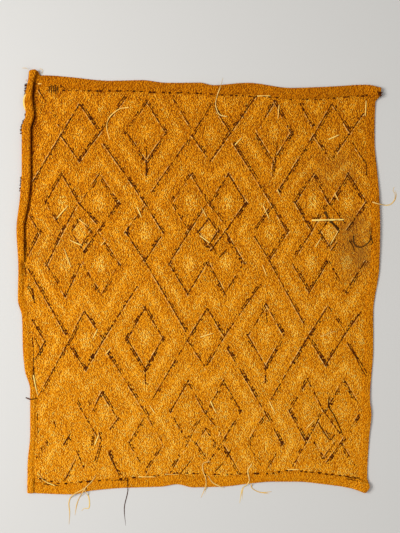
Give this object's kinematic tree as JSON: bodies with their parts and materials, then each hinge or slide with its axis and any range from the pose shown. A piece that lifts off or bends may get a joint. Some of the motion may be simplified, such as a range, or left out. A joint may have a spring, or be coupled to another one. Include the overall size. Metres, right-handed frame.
{
  "type": "kuba raffia cloth",
  "caption": "Flat panel of ochre raffia cloth lying wrong side up, with turned hems, a soft rolled left edge, raffia floats and loose raffia ends.",
  "frame": {"origin": "on the flat underside, near the middle of the panel, level with what the cloth lies on", "axes": "+X across the panel, from the rolled left edge to the plain right edge; +Y up the panel's length; +Z out of the side that shows"},
  "size_m": [0.5679, 0.6821, 0.0122],
  "materials": {
    "ochre_raffia": "matt woven raffia, golden ochre with dark brown stitches",
    "pale_raffia": "pale straw-coloured raffia strand, slightly glossy",
    "brown_raffia": "dark brown raffia strand, matt"
  },
  "bodies": {
    "root": {"cloth": "ochre_raffia", "end_top": "pale_raffia", "end_right": "pale_raffia", "end_middle": "pale_raffia", "end_middle_short": "pale_raffia", "end_fork_long": "pale_raffia", "end_fork_short": "pale_raffia", "end_brown": "brown_raffia", "end_knot": "pale_raffia", "float_long": "pale_raffia", "float_left_bar": "pale_raffia", "float_left_upper": "pale_raffia", "float_left_middle": "pale_raffia", "float_left_lower": "pale_raffia", "float_centre": "pale_raffia", "float_right": "pale_raffia", "float_top": "pale_raffia", "float_corner": "pale_raffia"}
  },
  "joints": []
}
